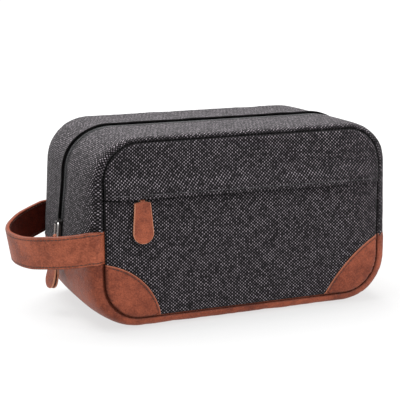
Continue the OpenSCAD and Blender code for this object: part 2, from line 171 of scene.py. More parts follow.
class Finish:
    """A procedural material, built node by node."""

    def __init__(self, name):
        self.material = bpy.data.materials.new(name)
        self.material.use_nodes = True
        self.tree = self.material.node_tree
        self.shader = self.tree.nodes["Principled BSDF"]

    def put(self, socket, value):
        """Links another node's output, or sets a number or a colour."""
        if isinstance(value, bpy.types.NodeSocket):
            self.tree.links.new(value, socket)
        else:
            socket.default_value = (*value, 1) if isinstance(value, tuple) else value

    def node(self, kind, inputs=(), **settings):
        made = self.tree.nodes.new("ShaderNode" + kind)
        for key, value in settings.items():
            setattr(made, key, value)
        for key, value in dict(inputs).items():
            self.put(made.inputs[key], value)
        return made

    def math(self, operation, a, b=0.0):
        return self.node("Math", {0: a, 1: b}, operation=operation).outputs[0]

    def add(self, a, b):
        return self.math("ADD", a, b)

    def times(self, a, b):
        return self.math("MULTIPLY", a, b)

    def thread(self):
        """The mesh's own coordinates in millimetres: along, across and from the edge."""
        return self.node("Attribute", attribute_name="thread").outputs["Vector"]

    def shade(self):
        """1 in the open and 0 deep in a seam or a fold."""
        return self.node("Attribute", attribute_name="shade").outputs["Fac"]

    def place(self):
        """Coordinates in the piece's own space, in millimetres."""
        space = self.node("TexCoord").outputs["Object"]
        made = self.node("VectorMath", {0: space, "Scale": 1 / MM}, operation="SCALE")
        return made.outputs[0]

    def split(self, vector):
        return self.node("SeparateXYZ", {0: vector}).outputs

    def join(self, x, y, z=0.0):
        return self.node("CombineXYZ", {0: x, 1: y, 2: z}).outputs[0]

    def noise(self, vector, size, detail=2.0, roughness=0.5):
        inputs = {"Vector": vector, "Scale": 1 / size, "Detail": detail, "Roughness": roughness}
        return self.node("TexNoise", inputs).outputs[0]

    def cells(self, vector, size):
        inputs = {"Vector": vector, "Scale": 1 / size}
        return self.node("TexVoronoi", inputs).outputs["Distance"]

    def chance(self, vector):
        return self.node("TexWhiteNoise", {"Vector": vector}).outputs["Value"]

    def spread(self, value, low, high, to_low=0.0, to_high=1.0):
        inputs = {0: value, 1: low, 2: high, 3: to_low, 4: to_high}
        return self.node("MapRange", inputs).outputs[0]

    def blend(self, share, a, b):
        return self.node("Mix", {0: share, 6: a, 7: b}, data_type="RGBA").outputs[2]

    def bump(self, height, depth, strength=1.0, below=None):
        inputs = {"Height": height, "Distance": depth * MM, "Strength": strength}
        if below is not None:
            inputs["Normal"] = below
        return self.node("Bump", inputs).outputs[0]

    def finish(self, **inputs):
        for key, value in inputs.items():
            self.put(self.shader.inputs[key.replace("_", " ")], value)
        return self.material


THREAD_PITCH = 1.45
LINING_PITCH = 0.5
# Spacing of the weft as a share of the warp's
WEFT_SHARE = 0.9
# How far the threads wander from straight, and over what length
WANDER = 2.4
WANDER_SIZE = 34
# Below 1 this widens a thread's crest
CREST_POWER = 0.35


def woven(f, coords, pitch):
    """Plain weave: the height of the thread on top, 1 where that is the weft, and chance."""
    x, y, _ = f.split(coords)
    drift = f.times(f.math("SUBTRACT", f.noise(coords, WANDER_SIZE, 0.0), 0.5), WANDER)
    u = f.math("DIVIDE", f.add(x, drift), pitch)
    v = f.math("DIVIDE", f.math("SUBTRACT", y, drift), pitch * WEFT_SHARE)
    iu = f.math("FLOOR", u)
    iv = f.math("FLOOR", v)
    across = f.math("SINE", f.times(f.math("FRACT", u), pi))
    along = f.math("SINE", f.times(f.math("FRACT", v), pi))
    over = f.math("MODULO", f.math("ABSOLUTE", f.add(iu, iv)), 2.0)
    flat_across = f.math("POWER", across, CREST_POWER)
    flat_along = f.math("POWER", along, CREST_POWER)
    warp = f.times(across, flat_along)
    weft = f.times(along, flat_across)
    height = f.add(warp, f.times(over, f.math("SUBTRACT", weft, warp)))
    spot = f.chance(f.join(iu, iv, 0.0))
    return height, over, spot


WEFT_BLACK = (0.0024, 0.0018, 0.0024)
# The near-black painted in as shade down in seams, at folds and under the flap
SEAM_SHADE_BLACK = (0.003, 0.0026, 0.003)
# Spacing of the diagonal ribs along and across the gusset
RIB_SIZE = (3.3, 8.0)


def canvas_finish(name, twill, brightest):
    """Light warp over dark weft, with painted shade down in the seams, at the zipper's folds and
    under the flap.
    """
    f = Finish(name)
    coords = f.thread()
    height, over, spot = woven(f, coords, THREAD_PITCH)
    worn = f.noise(coords, 9, 3.0, 0.6)
    x, y, _ = f.split(coords)
    ribs = f.add(f.math("DIVIDE", x, RIB_SIZE[0]), f.math("DIVIDE", y, RIB_SIZE[1]))
    ribs = f.add(ribs, f.times(f.noise(coords, 5.0, 3.0), 2.2))
    ribs = f.math("SINE", f.times(ribs, 2 * pi))
    warp_share = f.math("SUBTRACT", 1.0, over)
    light = f.times(warp_share, f.spread(height, 0.35, 0.9))
    light = f.times(light, f.spread(spot, 0.0, 1.0, 0.15, 1.0))
    light = f.times(light, f.spread(worn, 0.3, 0.7, 0.75, 1.25))
    light = f.times(light, f.spread(ribs, -1.0, 1.0, 1 - twill, 1 + twill))
    colour = f.blend(light, WEFT_BLACK, brightest)
    # Painted shade where the mesh's shade attribute falls
    colour = f.blend(f.shade(), SEAM_SHADE_BLACK, colour)
    normal = f.bump(height, 0.22, 0.5, f.bump(worn, 0.4, 0.3))
    return f.finish(
        Base_Color=colour, Roughness=0.9, Normal=normal,
        Sheen_Weight=0.03, Sheen_Roughness=0.5, Specular_IOR_Level=0.14,
    )


# Distance of the leather's stitch rows from its cut edges
SEAM_INSET = 2.0
# The brown painted in as shade along stitch rows and down in seams
SEAM_SHADE_BROWN = (0.03, 0.006, 0.003)


def leather_finish(name, deep, light, edge, gloss=0.48, shine=0.22, sewn=0.45):
    """Clouded leather with paler cut edges, painted shade along its stitch row where it is sewn, and
    painted shade down in the seams.
    """
    f = Finish(name)
    coords = f.thread()
    x, y, rim = f.split(coords)
    flat = f.join(x, y)
    cloud = f.noise(flat, 26, 3.0, 0.55)
    patch = f.noise(flat, 6.5, 4.0, 0.65)
    speck = f.noise(flat, 1.4, 3.0, 0.75)
    tone = f.add(f.times(cloud, 0.6), f.times(patch, 0.4))
    tone = f.spread(f.add(tone, f.times(speck, 0.8)), 0.72, 1.1)
    body = f.blend(tone, deep, light)
    # Cut edges take the edge colour: their own tone, and on the tabs also a painted highlight
    worn = f.spread(f.add(rim, f.times(patch, 0.8)), 0.55, 1.25, 0.75, 0.0)
    colour = f.blend(worn, body, edge)
    # Painted shade along the stitch row's groove, as strong as sewn, and painted shade down in the
    # seams
    from_row = f.math("ABSOLUTE", f.math("SUBTRACT", rim, SEAM_INSET))
    colour = f.blend(f.spread(from_row, 0.2, 0.8, sewn, 0.0), colour, SEAM_SHADE_BROWN)
    colour = f.blend(f.shade(), SEAM_SHADE_BROWN, colour)
    grain = f.cells(flat, 1.15)
    crease = f.noise(flat, 3.4, 5.0, 0.7)
    soft = f.bump(cloud, 1.2, 0.3)
    folds = f.bump(crease, 0.7, 0.6, soft)
    normal = f.bump(grain, 0.3, 0.7, folds)
    roughness = f.spread(patch, 0.3, 0.7, gloss - 0.06, gloss + 0.12)
    return f.finish(
        Base_Color=colour, Roughness=roughness, Normal=normal, Specular_IOR_Level=shine,
    )


TAPE_FOLD = 1.6
TAPE_RIB = 0.75


def tape_finish():
    """Black herringbone: ribs that turn back at every fold."""
    f = Finish("zip_tape_weave")
    coords = f.thread()
    x, y, _ = f.split(coords)
    fold = f.math("PINGPONG", y, TAPE_FOLD)
    rib = f.math("SINE", f.times(f.add(x, fold), 2 * pi / TAPE_RIB))
    tone = f.add(f.times(rib, 0.35), f.noise(coords, 1.2, 3.0))
    colour = f.blend(f.spread(tone, 0.1, 1.0), (0.006, 0.006, 0.007), (0.035, 0.034, 0.037))
    return f.finish(Base_Color=colour, Roughness=0.85, Normal=f.bump(rib, 0.1, 0.6))


def nylon_finish():
    f = Finish("zip_nylon")
    coords = f.place()
    tone = f.noise(coords, 0.8, 2.0)
    colour = f.blend(tone, (0.01, 0.01, 0.011), (0.032, 0.031, 0.034))
    roughness = f.spread(f.noise(coords, 2.0), 0.3, 0.7, 0.32, 0.5)
    return f.finish(Base_Color=colour, Roughness=roughness, Normal=f.bump(tone, 0.05, 0.4))


def steel_finish(name, dark, light, metal=1.0):
    f = Finish(name)
    coords = f.place()
    x, y, z = f.split(coords)
    scratch = f.noise(f.join(f.times(x, 6.0), y, f.times(z, 6.0)), 1.4, 4.0)
    stain = f.noise(coords, 3.5, 3.0, 0.6)
    colour = f.blend(f.spread(stain, 0.35, 0.65), dark, light)
    roughness = f.spread(scratch, 0.3, 0.7, 0.24, 0.46)
    return f.finish(
        Base_Color=colour, Metallic=metal, Roughness=roughness, Normal=f.bump(scratch, 0.03, 0.4),
    )


def thread_finish(name, dark, light):
    f = Finish(name)
    coords = f.place()
    twist = f.math("SINE", f.times(f.noise(coords, 0.35, 1.0), 14.0))
    colour = f.blend(f.spread(twist, -1.0, 1.0), dark, light)
    return f.finish(Base_Color=colour, Roughness=0.6, Normal=f.bump(twist, 0.05, 0.5))


def lining_finish():
    f = Finish("lining_weave")
    coords = f.place()
    x, y, z = f.split(coords)
    height, over, spot = woven(f, f.join(f.add(x, y), z), LINING_PITCH)
    tone = f.times(height, f.add(spot, f.times(over, 0.4)))
    colour = f.blend(tone, (0.05, 0.048, 0.05), (0.14, 0.13, 0.14))
    return f.finish(Base_Color=colour, Roughness=0.8, Normal=f.bump(height, 0.08, 0.6))


def porous_finish(name, dark, light, size):
    f = Finish(name)
    coords = f.place()
    pores = f.cells(coords, size)
    colour = f.blend(f.spread(pores, 0.0, 0.7), dark, light)
    return f.finish(Base_Color=colour, Roughness=0.95, Normal=f.bump(pores, 0.3, 0.6))


CANVAS = canvas_finish("washed_canvas", 0.0, (0.285, 0.25, 0.275))
GUSSET_CANVAS = canvas_finish("washed_canvas_gusset", 0.55, (0.31, 0.275, 0.3))
LEATHER = leather_finish(
    "tan_leather", (0.118, 0.022, 0.009), (0.3, 0.073, 0.034), (0.4, 0.15, 0.085)
)
# The tabs' pale edge colour is partly the raw cut edge and partly a painted highlight along their
# rounded rims
TAB_LEATHER = leather_finish(
    "tan_tab_leather", (0.118, 0.022, 0.009), (0.31, 0.077, 0.036), (0.6, 0.27, 0.16),
    sewn=0.0,
)
STRAP_LEATHER = leather_finish(
    "tan_strap_leather", (0.135, 0.027, 0.011), (0.365, 0.098, 0.048), (0.085, 0.022, 0.01)
)
# The strap's inner layer: the same tan leather painted far darker, as the shade inside the handle
# loop
LEATHER_INSIDE_SHADED = leather_finish(
    "tan_leather_inside_shaded", (0.03, 0.0036, 0.0016), (0.078, 0.01, 0.0042), (0.2, 0.055, 0.03),
    gloss=0.7, shine=0.08,
)
TAPE = tape_finish()
NYLON = nylon_finish()
STEEL = steel_finish("bright_nickel", (0.5, 0.48, 0.46), (0.84, 0.82, 0.79), 0.7)
DARK_STEEL = steel_finish("black_nickel", (0.03, 0.028, 0.027), (0.085, 0.081, 0.078))
CANVAS_THREAD = thread_finish("dark_thread", (0.01, 0.01, 0.011), (0.055, 0.052, 0.056))
LEATHER_THREAD = thread_finish("brown_thread", (0.014, 0.004, 0.002), (0.05, 0.014, 0.007))
LINING = lining_finish()
FOAM = porous_finish("foam_pores", (0.38, 0.37, 0.34), (0.62, 0.6, 0.56), 0.8)
BOARD = porous_finish("board_fibres", (0.24, 0.24, 0.23), (0.4, 0.4, 0.38), 0.5)


# --- Meshes ---

# Points this close become one, where a grid closes on itself
WELD = 0.002


def placed(name, data):
    made = bpy.data.objects.new(name, data)
    SCENE.collection.objects.link(made)
    return made


def build(name, points, faces, material, slot, body="bag", thread=None, shade=1.0, sharp=50):
    """A mesh object from points in millimetres, on a CAD body."""
    mesh = bpy.data.meshes.new(name)
    mesh.from_pydata((np.asarray(points) * MM).tolist(), [], [tuple(f) for f in faces])
    if thread is not None:
        layer = mesh.attributes.new("thread", "FLOAT_VECTOR", "POINT")
        layer.data.foreach_set("vector", np.asarray(thread, np.float32).reshape(-1))
        layer = mesh.attributes.new("shade", "FLOAT", "POINT")
        layer.data.foreach_set("value", np.asarray(shade, np.float32).reshape(-1))
    work = bmesh.new()
    work.from_mesh(mesh)
    bmesh.ops.remove_doubles(work, verts=work.verts, dist=WELD * MM)
    bmesh.ops.recalc_face_normals(work, faces=work.faces)
    work.to_mesh(mesh)
    work.free()
    mesh.shade_smooth()
    mesh.set_sharp_from_angle(angle=radians(sharp))
    mesh.materials.append(material)
    made = placed(name, mesh)
    if body:
        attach(made, body)
    return made


def shell(name, front, back, thread, material, slot, body="bag", shade=1.0, sharp=50):
    """A closed sheet between two grids of points of the same size."""
    rows, columns = front.shape[:2]
    count = rows * columns
    index = np.arange(count).reshape(rows, columns)
    corners = [index[:-1, :-1], index[1:, :-1], index[1:, 1:], index[:-1, 1:]]
    outer = np.stack(corners, -1).reshape(-1, 4)
    rim = joined(index[0, :-1], index[:-1, -1], index[-1, :0:-1], index[:0:-1, 0])
    after = np.roll(rim, -1)
    wall = stack(rim, after, after + count, rim + count)
    faces = joined(outer, outer[:, ::-1] + count, wall).tolist()
    points = joined(front.reshape(-1, 3), back.reshape(-1, 3))
    coords = np.concatenate([thread.reshape(-1, 3)] * 2)
    shades = np.concatenate([np.broadcast_to(shade, (rows, columns)).reshape(-1)] * 2)
    return build(name, points, faces, material, slot, body, coords, shades, sharp)


BEAD_RINGS = 3
BEAD_SIDES = 6


def beads(name, centres, along, up, size, material, slot, body="bag"):
    """Many small ellipsoids: size is half the length, width and height of each."""
    along = unit(along)
    up = unit(up - along * (up * along).sum(-1, keepdims=True))
    aside = np.cross(up, along)
    template = [(-1.0, 0.0, 0.0)]
    for ring in range(BEAD_RINGS):
        tilt = pi * (ring + 1) / (BEAD_RINGS + 1)
        reach = sin(tilt) ** 0.6
        for k in range(BEAD_SIDES):
            turn = 2 * pi * k / BEAD_SIDES
            template.append((-cos(tilt), reach * cos(turn), reach * sin(turn)))
    template.append((1.0, 0.0, 0.0))
    template = np.array(template) * size
    last = len(template) - 1
    loop = [(k, (k + 1) % BEAD_SIDES) for k in range(BEAD_SIDES)]
    faces = [(0, 1 + b, 1 + a) for a, b in loop]
    for ring in range(BEAD_RINGS - 1):
        base = 1 + ring * BEAD_SIDES
        faces += [(base + a, base + b, base + BEAD_SIDES + b, base + BEAD_SIDES + a) for a, b in loop]
    base = last - BEAD_SIDES
    faces += [(base + a, base + b, last) for a, b in loop]
    points = centres[:, None] + template @ np.stack([along, aside, up], 1)
    every = [tuple(v + i * (last + 1) for v in f) for i in range(len(centres)) for f in faces]
    return build(name, points.reshape(-1, 3), every, material, slot, body)


# Spacing of the stitches, how deep they lie, and half the length, width and height of each
STITCH = 3.3
STITCH_SINK = 0.05
STITCH_SIZE = (STITCH * 0.41, 0.42, 0.32)


def stitch_row(name, points, normals, material, slot, body="bag"):
    """A row of stitches along a line of points on a surface."""
    lengths = arc_length(points)
    centres = np.arange(STITCH, lengths[-1] - STITCH / 2, STITCH)
    middle = resample(points, centres, lengths)
    along = resample(points, centres + 0.6, lengths) - resample(points, centres - 0.6, lengths)
    up = unit(resample(normals, centres, lengths))
    return beads(name, middle - up * STITCH_SINK, along, up, STITCH_SIZE, material, slot, body)


# --- Gusset: its run round the seam outline and its section across the bag ---

# Spacing of the stations on a straight, in mm, and round a corner, in degrees
RUN_STEP = 4.0
CORNER_STEP = 4.0
# Half the number of stations that the bulge is evened out over
EASE = 3
GROOVE_HALF = 0.7
# The length along the run is measured this far outside the seams
MEASURE_OUT = 8


def groove(distance):
    """The dent that a row of stitches pulls into its piece, 1 at its deepest."""
    return np.exp(-(distance / GROOVE_HALF) ** 2)


def end_bulge(side, z):
    heights, bulges = LEFT_BULGES if side < 0 else RIGHT_BULGES
    return np.interp(z, heights, bulges)


def end_station(side, z):
    return (side * HALF_W, z, side, 0.0, end_bulge(side, z))


def corner_station(side, up, degrees):
    a = radians(degrees)
    nx = side * cos(a)
    nz = up * sin(a)
    _, cz, bulge_z = LEVELS[up]
    bulge = nx * nx * end_bulge(side, cz) + nz * nz * bulge_z
    return (side * FLAT_HALF + CORNER_R * nx, cz + CORNER_R * nz, nx, nz, bulge)


def level_station(x, up):
    return (x, LEVELS[up][0], 0.0, up, LEVELS[up][2])


def gusset_run(first_side, up, end_z):
    """Stations [x, z, outward x, outward z, bulge] up one end, along and down the other."""
    corner_z = LEVELS[up][1]
    flat = first_side * FLAT_HALF
    run = [end_station(first_side, z) for z in steps(end_z, corner_z, RUN_STEP)]
    run += [corner_station(first_side, up, a) for a in steps(0, 90, CORNER_STEP)[1:]]
    run += [level_station(x, up) for x in steps(flat, -flat, RUN_STEP)[1:]]
    run += [corner_station(-first_side, up, a) for a in steps(90, 0, CORNER_STEP)[1:]]
    run += [end_station(-first_side, z) for z in steps(corner_z, end_z, RUN_STEP)[1:]]
    run = np.array(run)
    span = 2 * EASE + 1
    padded = np.pad(run[:, 4], EASE, mode="edge")
    run[:, 4] = np.convolve(padded, np.ones(span) / span, mode="valid")
    return run


def run_length(run):
    return arc_length(run[:, :2] + run[:, 2:4] * MEASURE_OUT)


def stand_out(bulge, y):
    """How far the gusset stands out past the seam outline."""
    v = np.clip(np.abs(y) / HALF_D, 0, 1)
    rim = (1 - v ** LIP_POWER) ** (1 / LIP_POWER)
    middle = (1 - v ** BULGE_POWER) ** (1 / BULGE_POWER)
    return LIP * rim + (bulge - LIP) * middle


def on_run(run, y, out):
    """Points on the run at places y across the bag and distances out."""
    x = run[:, 0, None] + run[:, 2, None] * out
    z = run[:, 1, None] + run[:, 3, None] * out
    return stack(x, y, z)


# The lip rolls in to the seam: inward from the seam and out, for the outer and inner face
LIP_OUTER = np.array([[2.6, 1.3, 0.35, -0.3, -0.6, -0.45], [0.15, 0.2, 0.5, 1.15, 2.1, 3.1]])
LIP_INNER = np.array([[2.8, 2.2, 1.6, 1.1, 0.9, 0.95], [-1.0, -0.9, -0.5, 0.2, 1.1, 2.0]])
LIP_SHADE = np.array([0.0, 0.0, 0.15, 0.6, 0.95, 1.0])
# Columns of a strip, measured from its seam
ACROSS = [0.35, 1.1, 2.4, 4.2, 6.5, 9.5, 13, 17, 22, 28, 34, 40, 46, 52, 57, 61]
# Stands for "far from any cut edge" in a piece's thread coordinates
OPEN = 9.0
# Each leather piece's thread coordinates start elsewhere, so that no two look alike
PATCH_PLACE = 1000
STRAP_PLACE = 2000
TAB_PLACE = 3000


def folds(s, y, depth, seed):
    """Shallow waves in the cloth, with tighter puckers beside the seams."""
    from_seam = HALF_D - np.abs(y)
    shift = wave(s, [90], seed + 1)[:, None]
    broad = wave(s, [63, 41, 27], seed)[:, None] * np.cos(np.abs(y) / 17 + shift)
    tight = wave(s, [11.5, 8.2, 6.1], seed + 2)[:, None] * np.exp(-np.maximum(from_seam, 0) / 4.5)
    return depth * (broad + 0.75 * tight)


def strip_faces(run, ys, seed, depth, thick, proud=0.0):
    """Outer and inner grids of a gusset strip, whose ys start beside the seam at ys[0]."""
    s = run_length(run)
    bulge = run[:, 4, None]
    top = stand_out(bulge, ys) + proud
    under_y = ys * (HALF_D - thick) / HALF_D
    under = stand_out(bulge, ys) + proud - thick
    ripple = folds(s, np.broadcast_to(ys, top.shape), depth, seed)
    return s, top + ripple, under_y, under + ripple


def with_lip(side, ys, top, under_y, under, proud=0.0):
    """Adds the rolled lip's columns in front of a strip's columns."""
    pucker = top[:, :1] - np.mean(top[:, :1])
    follow = 0.5 * pucker * np.linspace(0, 1, LIP_OUTER.shape[1]) ** 2
    return (
        joined(side * (HALF_D - LIP_OUTER[0]), ys),
        np.concatenate([LIP_OUTER[1] + proud + follow, top], 1),
        joined(side * (HALF_D - LIP_INNER[0]), under_y),
        np.concatenate([LIP_INNER[1] + follow, under], 1),
    )


def section_thread(s, ys, out, side):
    """Cloth coordinates: along the run, and along the strip's own section."""
    middle = out[len(out) // 2]
    across = side * arc_length(stack(ys, middle))
    return stack(s[:, None], across[None], OPEN)


# The strips' ends are tucked this far under the base
BASE_TUCK = 1.5
# From the fold beside the zipper to its stitch row
ZIP_ROW = 3.2


def canvas_strip(side, name, node):
    run = gusset_run(-1, 1, BASE_TOP - BASE_TUCK)
    ys = side * (HALF_D - np.array(ACROSS))
    ys = np.append(ys, side * (ZIP_EDGE + 1.0))
    s, top, under_y, under = strip_faces(run, ys, 3 + side, 0.3, CANVAS_T)
    ys, top, under_y, under = with_lip(side, ys, top, under_y, under)
    edge = top[:, -1:]
    fold_y = side * np.array([ZIP_EDGE + 0.45, ZIP_EDGE + 0.1, ZIP_EDGE])
    ys = joined(ys, fold_y)
    top = np.concatenate([top, edge - 0.08, edge - 0.3, edge - 0.62], 1)
    under_y = joined(under_y, fold_y)
    under = np.concatenate([under, edge - 1.32, edge - 1.1, edge - 0.78], 1)
    rise = ZIP_RISE[side] * ease(1 - (np.abs(ys) - ZIP_EDGE) / 9)
    top = top - 0.25 * groove(np.abs(ys) - ZIP_EDGE - ZIP_ROW) + rise
    under = under + rise
    shade = joined(LIP_SHADE, np.ones(len(ACROSS) + 1), [0.2, 0.0, 0.0])
    shade[-4] = 0.5
    thread = section_thread(s, ys, top, side)
    made = shell(
        name, on_run(run, ys, top), on_run(run, under_y, under),
        thread, GUSSET_CANVAS, "canvas", shade=shade[None],
    )
    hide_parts(node)
    row_y = side * (ZIP_EDGE + ZIP_ROW)
    inside = (run[:, 1] > BASE_TOP + 1) | (run[:, 3] > 0)
    line = on_run(run, np.array([row_y]), stand_out(run[:, 4, None], row_y) - 0.12)[inside, 0]
    normals = stack(run[:, 2], 0.0, run[:, 3])[inside]
    stitch_row(name + "_stitches", line, normals, CANVAS_THREAD, "canvas")


BASE_STITCH_POINTS = 60


def base_piece():
    run = gusset_run(1, -1, BASE_TOP)
    half = HALF_D - np.array(ACROSS + [65])
    ys = joined(-half, [0.0], half[::-1])
    s, top, under_y, under = strip_faces(run, ys, 21, 0.4, LEATHER_T, LEATHER_PROUD)
    left = with_lip(-1, ys, top, under_y, under, LEATHER_PROUD)
    mirrored = [part[..., ::-1] for part in left]
    ys, top, under_y, under = with_lip(1, *mirrored, LEATHER_PROUD)
    # The cut edges at both ends are rounded over and lie on the canvas
    rise = np.minimum(np.abs(s - s[0]), np.abs(s[-1] - s))[:, None]
    on_end = (np.abs(run[:, 3]) < 0.05)[:, None]
    top = top - np.where(on_end & (rise < 0.8), 0.35, 0.0)
    top = top - 0.3 * groove(rise - SEAM_INSET)
    outer = on_run(run, ys, top)
    inner = on_run(run, under_y, under)
    outer[..., 2] = np.maximum(outer[..., 2], 0.0)
    inner[..., 2] = np.maximum(inner[..., 2], 1.2)
    thread = section_thread(s, ys, top, 1)
    thread[..., 2] = rise
    shade = joined(LIP_SHADE, np.ones(len(ys) - 2 * len(LIP_SHADE)), LIP_SHADE[::-1])
    made = shell(
        "base_leather_shell", outer, inner, thread, LEATHER, "leather",
        shade=shade[None], sharp=60,
    )
    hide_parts("base_leather")
    row_y = np.linspace(-HALF_D + 3, HALF_D - 3, BASE_STITCH_POINTS)
    for side, word in ((-1, "left"), (1, "right")):
        z = BASE_TOP - SEAM_INSET
        out = stand_out(end_bulge(side, z), row_y) + LEATHER_PROUD - 0.1
        line = stack(side * (HALF_W + out), row_y, z)
        normals = unit(stack(side, -np.gradient(out, row_y), 0.0))
        stitch_row("base_stitches_" + word, line, normals, LEATHER_THREAD, "leather")


# --- Front and back panels ---

def half_width_at(z):
    """Half the width of the seam outline at a height."""
    over = np.maximum(z - CORNER_HIGH, CORNER_LOW - z)
    inside = np.clip(over, 0, CORNER_R)
    return FLAT_HALF + np.sqrt(CORNER_R ** 2 - inside ** 2)


def inset(x, z):
    """Distance inside the seam outline."""
    qx = np.abs(x) - FLAT_HALF
    qz = np.abs(z - MID_Z) - ((SEAM_HIGH - SEAM_LOW) / 2 - CORNER_R)
    outside = np.hypot(np.maximum(qx, 0), np.maximum(qz, 0)) + np.minimum(np.maximum(qx, qz), 0)
    return CORNER_R - outside


# The simulated sheet's grid, its frames, and its share of even spacing
SIM_COLUMNS = 72
SIM_ROWS = 42
SIM_FRAMES = 20
EVEN_SHARE = 0.4
CLOTH = {
    "quality": 8, "mass": 0.3, "tension_stiffness": 18, "compression_stiffness": 18,
    "shear_stiffness": 6, "bending_stiffness": 0.4, "air_damping": 4, "shrink_min": -0.006,
    "vertex_group_mass": "sewn",
}


def sewn_places(n):
    """Places from -1 to 1, closer together beside the seams."""
    t = np.linspace(-1, 1, n)
    return EVEN_SHARE * t + (1 - EVEN_SHARE) * np.sin(t * pi / 2)


def simulated_crown():
    """A cloth sewn down all round and pushed out from behind: its height on a grid, 0 to 1."""
    a = sewn_places(SIM_COLUMNS)
    b = sewn_places(SIM_ROWS)
    z = SEAM_LOW + (SEAM_HIGH - SEAM_LOW) * (b[:, None] + 1) / 2
    x = a[None] * half_width_at(z)
    points = stack(x, 0.0, z).reshape(-1, 3) * MM
    index = np.arange(SIM_ROWS * SIM_COLUMNS).reshape(SIM_ROWS, SIM_COLUMNS)
    corners = [index[:-1, :-1], index[:-1, 1:], index[1:, 1:], index[1:, :-1]]
    mesh = bpy.data.meshes.new("crown_cloth")
    mesh.from_pydata(points.tolist(), [], np.stack(corners, -1).reshape(-1, 4).tolist())
    cloth = placed("crown_cloth", mesh)
    rim = joined(index[0], index[-1], index[:, 0], index[:, -1])
    sewn = cloth.vertex_groups.new(name="sewn")
    sewn.add([int(i) for i in np.unique(rim)], 1.0, "REPLACE")
    settings = cloth.modifiers.new("Cloth", "CLOTH").settings
    for key, value in CLOTH.items():
        setattr(settings, key, value)
    gravity = SCENE.gravity.copy()
    SCENE.gravity = (0.0, -9.81, 0.0)
    for step in range(1, SIM_FRAMES + 1):
        SCENE.frame_set(step)
    posed = cloth.evaluated_get(bpy.context.evaluated_depsgraph_get())
    heights = np.array([-v.co.y for v in posed.data.vertices]).reshape(SIM_ROWS, SIM_COLUMNS)
    SCENE.frame_set(1)
    SCENE.gravity = gravity
    bpy.data.objects.remove(cloth)
    bpy.data.meshes.remove(mesh)
    return np.clip(heights / heights.max(), -0.2, 1.0)


CROWN_GRID = simulated_crown()


def crown_at(x, z):
    """The simulated crown at places on the panel, 0 at the seams and 1 at its highest."""
    a = np.clip(x / half_width_at(z), -1, 1)
    b = np.clip(2 * (z - SEAM_LOW) / (SEAM_HIGH - SEAM_LOW) - 1, -1, 1)
    column = np.interp(a, sewn_places(SIM_COLUMNS), np.arange(SIM_COLUMNS))
    row = np.interp(b, sewn_places(SIM_ROWS), np.arange(SIM_ROWS))
    i = np.clip(row.astype(int), 0, SIM_ROWS - 2)
    j = np.clip(column.astype(int), 0, SIM_COLUMNS - 2)
    p, q = row - i, column - j
    low = CROWN_GRID[i, j] * (1 - q) + CROWN_GRID[i, j + 1] * q
    high = CROWN_GRID[i + 1, j] * (1 - q) + CROWN_GRID[i + 1, j + 1] * q
    return low * (1 - p) + high * p


# How far the panel stands out, how far its edge drops back, and over what width
PANEL_FACE = 2.3
EDGE_DROP = 3.4
EDGE_ROLL = 3.6
# Turns an angle round the panel into a length along its seam
SEAM_RADIUS = 110


def panel_out(x, z, seed):
    """How far a panel's cloth stands out of the seam plane."""
    d = inset(x, z)
    roll = np.sqrt(1 - (1 - np.clip(d / EDGE_ROLL, 0, 1)) ** 2)
    along = np.arctan2(z - MID_Z, x) * SEAM_RADIUS
    pucker = wave(along, [13, 9.1, 7.2], seed) * 0.28 * np.exp(-d / 6) * ease(d / 2)
    broad = 0.22 * wave(x + 0.4 * z, [70, 47, 31], seed + 1) * ease(d / 20)
    return PANEL_FACE - EDGE_DROP * (1 - roll) + CROWN * crown_at(x, z) + pucker + broad


def flap_out(x, z, seed):
    from_side = HALF_W - np.abs(x)
    side = 0.35 + 0.65 * ease(from_side / 16)
    hang = 1 - ease((z - FLAP_EDGE - 5) / (FLAP_STITCH - FLAP_EDGE - 5))
    crease = 0.55 * np.exp(-((z - FLAP_STITCH) / 1.1) ** 2)
    wavy = 0.25 * wave(x, [58, 37, 23], seed + 5) * hang
    return panel_out(x, z, seed) + FLAP_LIFT * side * hang - crease + wavy


def panel_grid(zs):
    a = sewn_places(PANEL_COLUMNS)
    z = np.broadcast_to(zs[:, None], (len(zs), PANEL_COLUMNS))
    return a[None] * (half_width_at(z) - SEAM_GAP), z


def seam_places(low, high, count, low_sewn, high_sewn):
    """Heights from low to high, closer together beside a sewn edge."""
    t = np.linspace(0, 1, count)
    if low_sewn and high_sewn:
        t = (1 - np.cos(pi * t)) / 2
    elif low_sewn:
        t = 1 - np.cos(pi / 2 * t)
    elif high_sewn:
        t = np.sin(pi / 2 * t)
    return low + (high - low) * t


def seam_shade(x, z):
    return ease((inset(x, z) - SEAM_GAP) / 1.1)


def lay(x, z, out, side):
    return stack(x, side * (HALF_D + out), z)


PANEL_COLUMNS = 120
SEAM_GAP = 0.5
FRONT_SEED = 40
BACK_SEED = 60
# The pocket's edge lies no further out than this, over this height, behind the pull tab
POCKET_FLAT = 2.05
POCKET_EASE = 20


def panel(name, x, z, outer, inner, side, shade, shift=0.0):
    """A canvas panel between two distances out of the seam plane."""
    thread = stack(x, z + shift, inset(x, z))
    faces = [lay(x, z, out, side) for out in (outer, inner)]
    return shell(name, *faces, thread, CANVAS, "canvas", shade=shade)


def lower_front():
    top = node_box("front_panel_lower")[1][2]
    zs = seam_places(SEAM_LOW + SEAM_GAP, top, 64, True, False)
    x, z = panel_grid(zs)
    out = panel_out(x, z, FRONT_SEED)
    eased = ease((z - top + POCKET_EASE) / POCKET_EASE)
    out = out - np.maximum(out - POCKET_FLAT, 0) * eased
    # Painted shade on the cloth up under the flap's edge
    flap_shade = 1 - ease((z - FLAP_EDGE + 1.5) / 3)
    shade = seam_shade(x, z) * flap_shade
    made = panel("front_lower_cloth", x, z, out, out - CANVAS_T, -1, shade)
    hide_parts("front_panel_lower")


